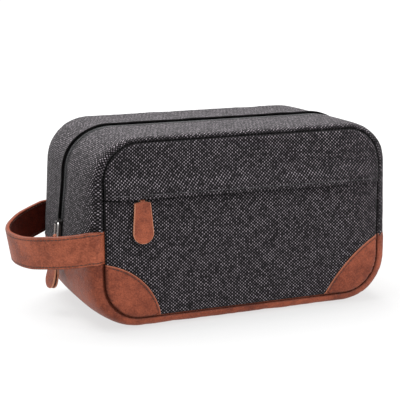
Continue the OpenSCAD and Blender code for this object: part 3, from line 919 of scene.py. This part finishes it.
# From the flap's edge to its stitch row, and the points along each row
FLAP_ROW = 3.2
FLAP_STITCH_POINTS = 120
# The weave on the flap and the back starts at another place than on the lower front
FLAP_SHIFT = 0.4
BACK_SHIFT = 300


def flap_rise(x):
    """The flap's edge hangs a little lower towards the right."""
    return FLAP_RAISE + FLAP_SLOPE * x


def flap():
    zs = seam_places(FLAP_EDGE + 0.9, SEAM_HIGH - SEAM_GAP, 56, False, True)
    zs = joined([FLAP_EDGE, FLAP_EDGE + 0.1, FLAP_EDGE + 0.4], zs)
    drop = np.zeros(len(zs))
    drop[:3] = [0.68, 0.35, 0.1]
    x, z = panel_grid(zs)
    z = z + flap_rise(x) * (1 - ease((z - FLAP_EDGE) / 16))
    out = flap_out(x, z, FRONT_SEED)
    stitch_z = FLAP_EDGE + FLAP_ROW
    outer = out - drop[:, None] - 0.2 * groove(z - stitch_z)
    inner = out - CANVAS_T + drop[:, None]
    shade = seam_shade(x, z)
    shade[0] = 0.25
    made = panel("front_flap_cloth", x, z, outer, inner, -1, shade, FLAP_SHIFT)
    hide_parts("front_panel_flap")
    for height, name in ((FLAP_STITCH, "flap_top_stitches"), (stitch_z, "flap_edge_stitches")):
        half_row = half_width_at(np.array(height)) - 4
        xs = np.linspace(-1, 1, FLAP_STITCH_POINTS) * half_row
        heights = height + (flap_rise(xs) if height == stitch_z else 0 * xs)
        line = lay(xs, heights, flap_out(xs, heights, FRONT_SEED) - 0.1, -1)
        normals = np.tile([0.0, -1.0, 0.0], (FLAP_STITCH_POINTS, 1))
        stitch_row(name, line, normals, CANVAS_THREAD, "canvas")


def back():
    zs = seam_places(SEAM_LOW + SEAM_GAP, SEAM_HIGH - SEAM_GAP, 80, True, True)
    x, z = panel_grid(zs)
    out = panel_out(x, z, BACK_SEED)
    made = panel("back_cloth", x, z, out, out - CANVAS_T, 1, seam_shade(x, z), BACK_SHIFT)
    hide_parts("back_panel")


PATCH_T = 1.0
PATCH_LAP = 0.6
PATCH_ROWS = 64
# Width along the bottom seam, height up the side seam, and bow of the cut edge
LEFT_PATCH = (45.0, 45.5, 10.0)
RIGHT_PATCH = (50.0, 48.0, 5.5)


def outline_line(side, x_start, z_end):
    """The seam outline from the bottom seam at x_start round the corner up to z_end."""
    cx = side * FLAT_HALF
    corner = [
        (cx + side * CORNER_R * sin(a), CORNER_LOW - CORNER_R * cos(a))
        for a in np.linspace(0, pi / 2, 24)
    ]
    points = np.array([(side * x_start, SEAM_LOW)] + corner + [(side * HALF_W, z_end)])
    lengths = arc_length(points)
    return resample(points, np.linspace(0, lengths[-1], PATCH_ROWS), lengths)


def cut_line(side, w, h, bow):
    """The patch's cut edge: an arc from the bottom seam to the side seam."""
    low = np.array([side * (HALF_W - w), SEAM_LOW])
    high = np.array([side * HALF_W, SEAM_LOW + h])
    chord = np.linalg.norm(high - low)
    r = (chord * chord / 4 + bow * bow) / (2 * bow)
    inward = np.array([side * h, -w]) / hypot(h, w)
    centre = (low + high) / 2 + inward * (r - bow)
    first = atan2(*(low - centre)[::-1])
    last = atan2(*(high - centre)[::-1])
    turn = (last - first + pi) % (2 * pi) - pi
    angles = first + turn * np.linspace(0, 1, PATCH_ROWS)
    return centre + r * stack(np.cos(angles), np.sin(angles))


def patch(name, node, side, face, sizes, seed):
    """A leather corner patch on the front (face -1) or the back (face 1)."""
    w, h, bow = sizes
    cut = cut_line(side, w, h, bow)
    seam = outline_line(side, HALF_W - w, SEAM_LOW + h)
    gap = np.linalg.norm(seam - cut, axis=1)
    inside = joined([0.0, 0.12, 0.4, 0.9], np.linspace(1.8, 60, 26))
    share = np.minimum(inside[None] / np.maximum(gap[:, None], 1e-6), 1.0)
    share[:, -1] = 1.0
    spread = np.linspace(0, 1, share.shape[1])[None] ** 1.3
    share = np.where(gap[:, None] > 6, share, spread)
    share = np.maximum.accumulate(share, axis=1)
    plan = cut[:, None] + (seam - cut)[:, None] * share[..., None]
    x, z = plan[..., 0], plan[..., 1]
    rim = share * gap[:, None]
    base = panel_out(x, z, seed)
    rounded = 0.45 * np.clip(1 - rim / 0.9, 0, 1) ** 2
    stitched = 0.22 * groove(rim - SEAM_INSET)
    dent = 0.16 * wave(x * 0.8 + z, [23, 14, 9], seed + side)
    near_seam = ease(inset(x, z) / 3)
    top = base + PATCH_T - rounded - stitched + dent * near_seam
    thread = stack(x + PATCH_PLACE * (side + 2), z + 500 * face, rim)
    made = shell(
        name, lay(x, z, top, face), lay(x, z, base - PATCH_LAP, face),
        thread, LEATHER, "leather", shade=ease((inset(x, z) + 0.2) / 1.4), sharp=55,
    )
    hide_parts(node)
    pick = slice(4, PATCH_ROWS - 4)
    share_at = np.minimum(SEAM_INSET / np.maximum(gap, 1e-6), 0.5)[pick, None]
    line = cut[pick] + (seam - cut)[pick] * share_at
    out = panel_out(line[:, 0], line[:, 1], seed) + PATCH_T - 0.2
    normals = np.tile([0.0, float(face), 0.0], (len(line), 1))
    points = lay(line[:, 0], line[:, 1], out, face)
    stitch_row(name + "_stitches", points, normals, LEATHER_THREAD, "leather")


# --- Zippers ---

# Half the length, width and height of a coil's turn
MAIN_TURN = (0.86, 0.52, 0.5)
POCKET_TURN = (0.78, 0.52, 0.5)


def coil_row(name, middle, along, up, size):
    rows = [np.broadcast_to(axis, middle.shape) for axis in (along, up)]
    return beads(name, middle, *rows, size, NYLON, "zip_coil")


def main_zip():
    run = gusset_run(-1, 1, BASE_TOP)
    s = run_length(run)
    bulge = run[:, 4, None]
    for side, word in ((-1, "front"), (1, "back")):
        ys = side * np.array([0.45, 1.5, 3, 5, 8, 11, TAPE_HALF])
        out = stand_out(bulge, ys) - TAPE_DEPTH
        thread = stack(s[:, None], ys[None], OPEN)
        faces = [on_run(run, ys, out - depth) for depth in (0, TAPE_T)]
        tape = shell("main_tape_" + word, *faces, thread, TAPE, "zip_tape")
        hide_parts("main_zip_tape_" + word)
        places = np.arange(4.0, s[-1] - 4.0, COIL_PITCH) + (0.5 + 0.5 * side) * COIL_PITCH / 2
        at = resample(run, places, s)
        normal = unit(stack(at[:, 2], 0.0, at[:, 3]))
        middle = stack(at[:, 0], side * COIL_Y, at[:, 1])
        middle = middle + normal * (at[:, 4, None] - COIL_DEPTH)
        coil = coil_row("main_coil_" + word, middle, [0.0, 1.0, 0.0], normal, MAIN_TURN)
        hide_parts("main_zip_coil_" + word)


def pocket_zip():
    for word in ("upper", "lower"):
        low, high = node_box("pocket_zip_tape_" + word)
        x = steps(low[0], high[0], 4)[:, None]
        z = np.linspace(low[2], high[2], 7)[None]
        faces = [stack(x, y, z) for y in (low[1], high[1])]
        tape = shell("pocket_tape_" + word, *faces, stack(x, z, OPEN), TAPE, "zip_tape")
        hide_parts("pocket_zip_tape_" + word)
        low, high = node_box("pocket_zip_coil_" + word)
        shift = COIL_PITCH / 2 if word == "upper" else 0.0
        places = np.arange(low[0] + 0.6, high[0] - 0.6, COIL_PITCH) + shift
        mid = (low + high) / 2
        middle = stack(places, mid[1], mid[2])
        axes = [0.0, 0.0, 1.0], [0.0, -1.0, 0.0]
        coil = coil_row("pocket_coil_" + word, middle, *axes, POCKET_TURN)
        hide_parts("pocket_zip_coil_" + word)


# --- Handle strap ---

def strap_plan():
    """Middle line of the strap seen from above, from the front seam to the back one."""
    t = np.linspace(-pi / 2, pi / 2, 721)
    cos_t = np.clip(np.cos(t), 0, 1)
    x = -HALF_W - STRAP_REACH * cos_t ** STRAP_POWER
    y = STRAP_HALF_Y * np.sin(t) - STRAP_SHIFT * cos_t ** 2
    reach = -HALF_W - x
    tuck = STRAP_TUCK * (1 - ease(reach / 8))
    y = y - np.sign(t) * tuck
    line = stack(x, y)
    tail = np.array([[2.6, 0.0], [1.3, 0.0]])
    front = line[0] + tail + [[0, 1.6], [0, 0.6]]
    rear = line[-1] + tail[::-1] + [[0, -0.6], [0, -1.6]]
    line = joined(front, line, rear)
    lengths = arc_length(line)
    return resample(line, steps(0, lengths[-1], 2.2), lengths)


STRAP_LINE = strap_plan()


def strap_normals():
    along = np.gradient(STRAP_LINE, axis=0)
    return unit(stack(-along[:, 1], along[:, 0], 0.0))


def strap_points(across, depth):
    """Points on the strap at heights across it, and at a depth outside its middle."""
    out = strap_normals()
    x = STRAP_LINE[:, 0, None] + out[:, 0, None] * depth
    y = STRAP_LINE[:, 1, None] + out[:, 1, None] * depth
    bend = ease((STRAP_HINGE_X - STRAP_LINE[:, 0]) / LOOP_GAP) * STRAP_DROOP
    rx = x - STRAP_HINGE_X
    cos_b, sin_b = np.cos(bend)[:, None], np.sin(bend)[:, None]
    turned_x = STRAP_HINGE_X + rx * cos_b - across * sin_b
    turned_z = STRAP_Z + rx * sin_b + across * cos_b
    return stack(turned_x, y, turned_z)


STRAP_COLUMNS = [-1, -0.985, -0.95, -0.9, -0.8, -0.6, -0.3, 0, 0.3, 0.6, 0.8, 0.9, 0.95, 0.985, 1]


def strap_layer(name, side, material, slot, nodes):
    """One leather layer, outside (side 1) or inside (side -1) the strap's middle."""
    half = STRAP_W / 2
    s = arc_length(STRAP_LINE)
    across = np.array(STRAP_COLUMNS)
    from_edge = half * (1 - np.abs(across))
    curl = 0.55 * np.clip(1 - from_edge / 0.9, 0, 1) ** 2
    stitched = 0.24 * groove(from_edge - SEAM_INSET)
    wavy = 0.14 * wave(s, [37, 22, 13], 80 + side)[:, None]
    face = side * (STRAP_LAYER - curl - stitched + wavy)
    ribbon = half * across + 0.25 * wave(s, [55, 34], 90)[:, None] * (np.abs(across) > 0.9)
    outer = strap_points(ribbon, face)
    inner = strap_points(ribbon, side * STRAP_GAP)
    thread = stack(s[:, None] + STRAP_PLACE + 500 * side, (half * across)[None], from_edge[None])
    made = shell(name, outer, inner, thread, material, slot, None, sharp=60)
    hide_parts(*nodes)
    bend_strap(made)
    normals = strap_normals() * side
    reach = -HALF_W - STRAP_LINE[:, 0]
    keep = reach > 1.0
    for edge, word in ((1, "top"), (-1, "bottom")):
        line = strap_points(edge * (half - SEAM_INSET), side * (STRAP_LAYER - 0.12))[keep, 0]
        stitches = stitch_row(
            name + "_stitches_" + word, line, normals[keep], LEATHER_THREAD, slot, None
        )
        bend_strap(stitches)


def bend_strap(piece):
    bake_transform(piece)


# --- Pull tabs ---

TAB_TOP_HALF = 6.4
TAB_END_HALF = 8.4
TAB_COLUMNS = [-1, -0.98, -0.93, -0.85, -0.6, -0.3, 0, 0.3, 0.6, 0.85, 0.93, 0.98, 1]
# Half the space between the two layers
TAB_GAP = 0.02


def tab_half_width(down, length):
    """Half the width of a tab at a distance below its bar."""
    straight = length - TAB_END_HALF
    body = TAB_TOP_HALF + (TAB_END_HALF - TAB_TOP_HALF) * down / straight
    below = np.clip((down - straight) / TAB_END_HALF, 0, 1)
    tip = TAB_END_HALF * np.sqrt(np.maximum(1 - below ** 2, 0))
    return np.where(below > 0, tip, body)


def pull_tab(
    name, node, body, bar, outward, down_axis, length, wire_r, fold_half, layer_t,
    bow=0.0, curve=2.2, part=0.0, twist=0.0, shoulder=4.5, seed=0,
):
    """A leather strip folded over a bail's bar, its two layers lying together.

    bow leans its end outward along the curve, part opens the layers, and twist turns the
    end. shoulder is how fast the strip widens below its narrow fold.
    """
    across_axis = np.cross(down_axis, outward)
    neck = wire_r + 1.4
    down = np.concatenate([
        [0.0, 0.6, 1.2, neck], neck + np.array([0.1, 0.35, 0.8, 1.6]),
        np.linspace(neck + 3, length - 4, 14),
        length - TAB_END_HALF * (1 - np.sin(np.linspace(0.62, pi / 2, 12))),
    ])
    across = np.array(TAB_COLUMNS)
    bore = wire_r + 0.06
    turn = np.linspace(pi / 2, 0, 7)[:-1]
    half = np.maximum(tab_half_width(down, length), 0.02)
    half = np.minimum(half, fold_half + shoulder * down)
    rim = np.minimum(half[:, None] * (1 - np.abs(across)), (length - down)[:, None])
    curl = 0.4 * np.clip(1 - rim / 0.7, 0, 1) ** 2 * layer_t
    pinch = bore * (1 - ease(down / 8))[:, None]
    sway = (bow * np.clip(down / length, 0, 1) ** curve)[:, None]
    sway = sway + 0.2 * wave(down, [31, 19], seed)[:, None] * ease(down / 10)[:, None]
    for side, word in ((1, "front"), (-1, "rear")):
        opened = part * side * ease((down - 8) / (length - 8))[:, None]
        turned = sin(twist) * ease(down / length)[:, None] * half[:, None] * across
        near = side * (pinch + TAB_GAP) + opened + sway + turned
        far = near + side * (layer_t - curl)
        width = joined(np.full(len(turn), fold_half), half)[:, None] * across
        faces = []
        for radius, flat in ((bore, near), (bore + layer_t, far)):
            fold = side * radius * np.cos(turn)[:, None]
            out = joined(np.broadcast_to(fold, (len(turn), len(across))), flat)
            fallen = joined(-radius * np.sin(turn), down)
            faces.append(
                bar + width[..., None] * across_axis + out[..., None] * outward
                + fallen[:, None, None] * down_axis
            )
        rim_all = joined(np.tile(0.9 - 0.4 * np.abs(across), (len(turn), 1)), rim)
        thread = stack(width + TAB_PLACE + 100 * seed, fallen[:, None], rim_all)
        made = shell(
            name + "_" + word, faces[1], faces[0], thread, TAB_LEATHER, "leather", body,
            sharp=60,
        )
        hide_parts(node)


MAIN_WIRE_R = 0.8
POCKET_WIRE_R = 0.5


def tabs():
    low, high = node_box("pocket_bail")
    bar = np.array([(low[0] + high[0]) / 2, (low[1] + high[1]) / 2, low[2] + POCKET_WIRE_R])
    outward = np.array([0.0, -1.0, 0.0])
    down = np.array([0.0, 0.0, -1.0])
    pull_tab(
        "pocket_tab", "pocket_pull_tab", "pocket_tab_body", bar, outward, down,
        length=33.0, wire_r=POCKET_WIRE_R, fold_half=1.8, layer_t=1.0,
        bow=2.3, curve=0.65, seed=5,
    )
    slope = atan2(end_bulge(-1, 60.0) - end_bulge(-1, 70.0), 10)
    low, high = node_box("main_bail")
    bar = np.array([low[0] + MAIN_WIRE_R, 0.0, low[2] + MAIN_WIRE_R])
    outward = np.array([-cos(slope), 0.0, sin(slope)])
    down = np.array([-sin(slope), 0.0, -cos(slope)])
    pull_tab(
        "main_tab", "main_pull_tab", "main_tab_body", bar, outward, down,
        length=42.6, wire_r=MAIN_WIRE_R, fold_half=2.4, layer_t=1.3,
        bow=1.0, part=1.0, twist=radians(8), shoulder=0.9, seed=9,
    )


# --- CAD nodes that stay ---

KEPT = {
    STEEL: ["main_bail"],
    DARK_STEEL: [
        "main_slider", "main_zip_top_stop", "main_zip_bottom_stop",
        "pocket_slider", "pocket_bail", "pocket_zip_stops",
    ],
    LINING: [
        "pocket_backing", "front_lining", "back_lining", "gusset_lining_front",
        "gusset_lining_back", "base_lining",
    ],
    FOAM: ["front_padding", "back_padding"],
    BOARD: ["base_stiffener"],
    NYLON: ["seam_binding_front", "seam_binding_back"],
}


def finish_kept():
    for material, names in KEPT.items():
        for name in names:
            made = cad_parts[name]
            made.data.materials.clear()
            made.data.materials.append(material)
            if material in (STEEL, DARK_STEEL):
                bevel = made.modifiers.new("worn_edges", "BEVEL")
                bevel.width = 0.16 * MM
                bevel.segments = 2
                bevel.limit_method = "ANGLE"
                bevel.angle_limit = radians(50)


# --- Studio ---

AZIMUTH = radians(-22.28)
ELEVATION = radians(11.58)
ROLL = radians(-0.33)
DISTANCE = 1026.1
AIM = np.array([-12.44, 0.0, 84.25])
LENS = 108.64
# The floor's edge, in metres, and where its glow rises from low to high, in mm
FLOOR_R = 14.0
FLOOR_SIDES = 96
GLOW_FROM = 250
GLOW_TO = 900


def camera():
    level = cos(ELEVATION)
    back_axis = Vector((sin(AZIMUTH) * level, -cos(AZIMUTH) * level, sin(ELEVATION)))
    turn = back_axis.to_track_quat("Z", "Y").to_matrix().to_4x4()
    made = placed("camera", bpy.data.cameras.new("camera"))
    made.data.lens = LENS
    made.data.sensor_width = 36
    made.data.clip_end = 100
    place = Vector(AIM * MM) + back_axis * DISTANCE * MM
    made.matrix_world = Matrix.Translation(place) @ turn @ Matrix.Rotation(ROLL, 4, "Z")
    SCENE.camera = made


def softbox(name, place, aim, size, watts):
    light = bpy.data.lights.new(name, "AREA")
    light.shape = "RECTANGLE"
    light.size, light.size_y = size
    light.energy = watts
    made = placed(name, light)
    made.location = place
    made.rotation_euler = (Vector(place) - Vector(aim)).to_track_quat("Z", "Y").to_euler()


def studio():
    world = bpy.data.worlds.new("studio")
    world.use_nodes = True
    background = world.node_tree.nodes["Background"].inputs
    background["Color"].default_value = (1, 1, 1, 1)
    background["Strength"].default_value = 1.0
    SCENE.world = world
    SCENE.view_settings.view_transform = "Standard"
    mesh = bpy.data.meshes.new("floor")
    turns = [2 * pi * k / FLOOR_SIDES for k in range(FLOOR_SIDES)]
    ring = [(FLOOR_R * cos(t), FLOOR_R * sin(t), 0.0) for t in turns]
    mesh.from_pydata(ring, [], [tuple(range(FLOOR_SIDES))])
    floor = placed("floor", mesh)
    f = Finish("pale_floor")
    x, y, _ = f.split(f.place())
    reach = f.math("SQRT", f.add(f.times(x, x), f.times(y, y)))
    glow = f.spread(reach, GLOW_FROM, GLOW_TO, 0.68, 0.92)
    f.finish(
        Base_Color=(0.16, 0.16, 0.16), Roughness=1.0, Specular_IOR_Level=0.0,
        Emission_Color=(1, 1, 1), Emission_Strength=glow,
    )
    mesh.materials.append(f.material)
    softbox("overhead", (-0.1, 0.35, 1.5), (0, 0, 0.08), (1.6, 1.2), 54)
    softbox("front", (0.9, -1.5, 1.0), (0, 0, 0.06), (1.2, 1.0), 14)


camera()
studio()
for y_side, face_word in ((-1, "front"), (1, "back")):
    canvas_strip(y_side, "gusset_cloth_" + face_word, "gusset_canvas_" + face_word)
base_piece()
lower_front()
flap()
back()
for y_side, face_word, face_seed in ((-1, "front", FRONT_SEED), (1, "back", BACK_SEED)):
    for x_side, end_word, patch_sizes in ((-1, "left", LEFT_PATCH), (1, "right", RIGHT_PATCH)):
        patch(
            "patch_" + face_word + "_" + end_word, face_word + "_patch_" + end_word,
            x_side, y_side, patch_sizes, face_seed,
        )
main_zip()
pocket_zip()
strap_layer(
    "strap_outer", 1, STRAP_LEATHER, "leather",
    ("handle_outer_layer", "handle_anchor_front", "handle_anchor_back"),
)
strap_layer("strap_inner", -1, LEATHER_INSIDE_SHADED, "leather_inside", ("handle_inner_layer",))
tabs()
finish_kept()
